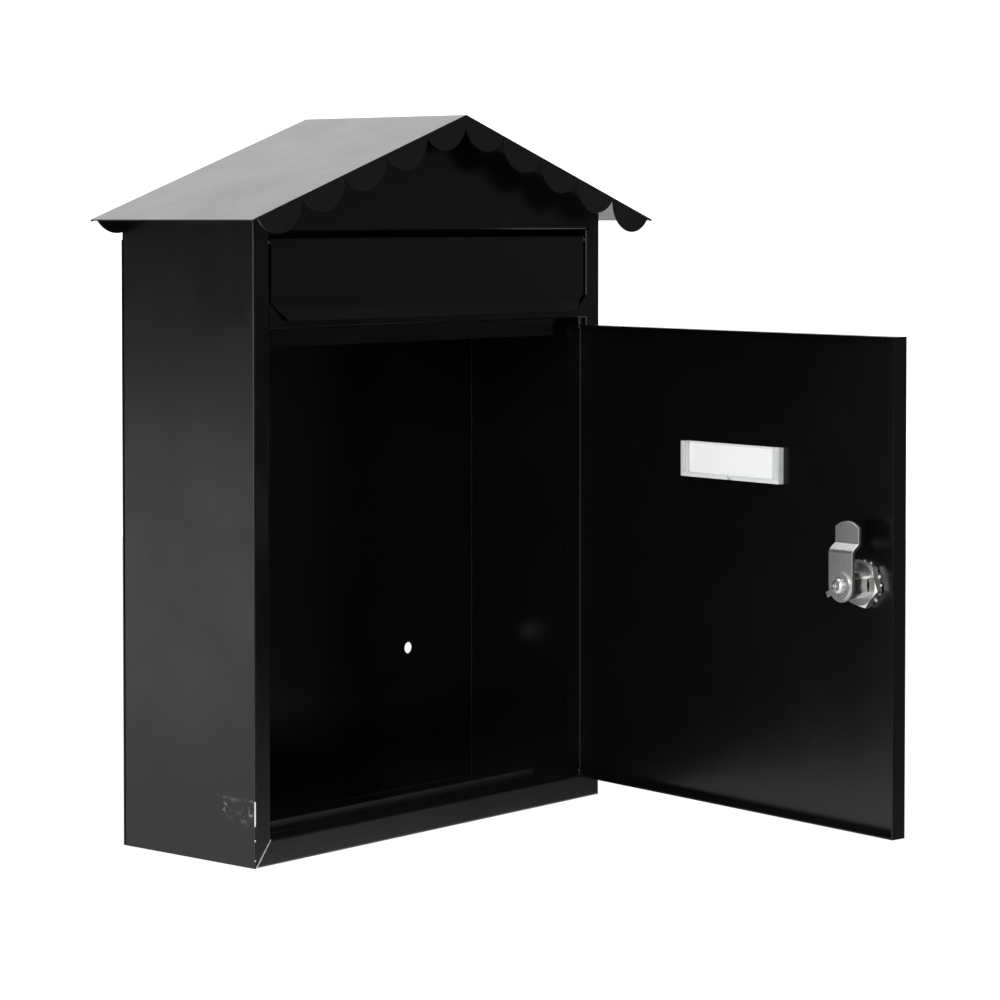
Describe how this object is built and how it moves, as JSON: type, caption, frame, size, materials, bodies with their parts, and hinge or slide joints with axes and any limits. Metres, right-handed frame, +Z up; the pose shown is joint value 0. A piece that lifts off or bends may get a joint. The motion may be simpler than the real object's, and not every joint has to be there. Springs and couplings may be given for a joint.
{
  "type": "wall mounted mailbox",
  "caption": "Black steel wall letter box with a gabled, scallop-edged roof, a lift-up letter flap, a side-hung door with name plate and a cam lock.",
  "frame": {"origin": "centre of the four wall screw holes, on the outer face of the back panel", "axes": "+X to the right seen from the front, +Y into the wall, +Z up"},
  "size_m": [0.3468, 0.3693, 0.4149],
  "materials": {
    "black_paint": "gloss black powder coat on folded sheet steel",
    "zinc_steel": "bright zinc plate",
    "nickel_zinc": "satin nickel plate on a zinc casting",
    "brass": "machined",
    "clear_plastic": "clear moulded",
    "white_card": "matt white card"
  },
  "bodies": {
    "body": {"back_panel": "black_paint", "left_side": "black_paint", "right_side": "black_paint", "floor_panel": "black_paint", "gable_panel": "black_paint", "cross_rail": "black_paint", "roof": "black_paint"},
    "door": {"door_panel": "black_paint", "door_pin_upper": "black_paint", "door_pin_lower": "black_paint", "name_holder": "clear_plastic", "name_card": "white_card", "lock_body": "nickel_zinc", "lock_nut": "zinc_steel", "tooth_washer": "zinc_steel"},
    "lock_core": {"lock_plug": "brass", "lock_wafers": "brass", "wafer_springs": "zinc_steel", "stop_washer": "zinc_steel", "lock_cam": "zinc_steel", "star_washer": "zinc_steel", "cam_screw": "zinc_steel"},
    "flap": {"letter_flap": "black_paint", "flap_pin_left": "zinc_steel", "flap_pin_right": "zinc_steel"}
  },
  "joints": [
    {"name": "door_hinge", "type": "hinge", "parent": "body", "child": "door", "pos_m": [0.1341, -0.1025, 0], "axis": [0, 0, 1], "range_deg": [-80, 30]},
    {"name": "lock_turn", "type": "hinge", "parent": "door", "child": "lock_core", "pos_m": [0.08497, -0.33794, -0.03494], "axis": [-0.9848, 0.1736, 0], "range_deg": [-90, 0]},
    {"name": "flap_hinge", "type": "hinge", "parent": "body", "child": "flap", "pos_m": [0, -0.1015, 0.15471], "axis": [-1, 0, 0], "range_deg": [0, 110]}
  ]
}
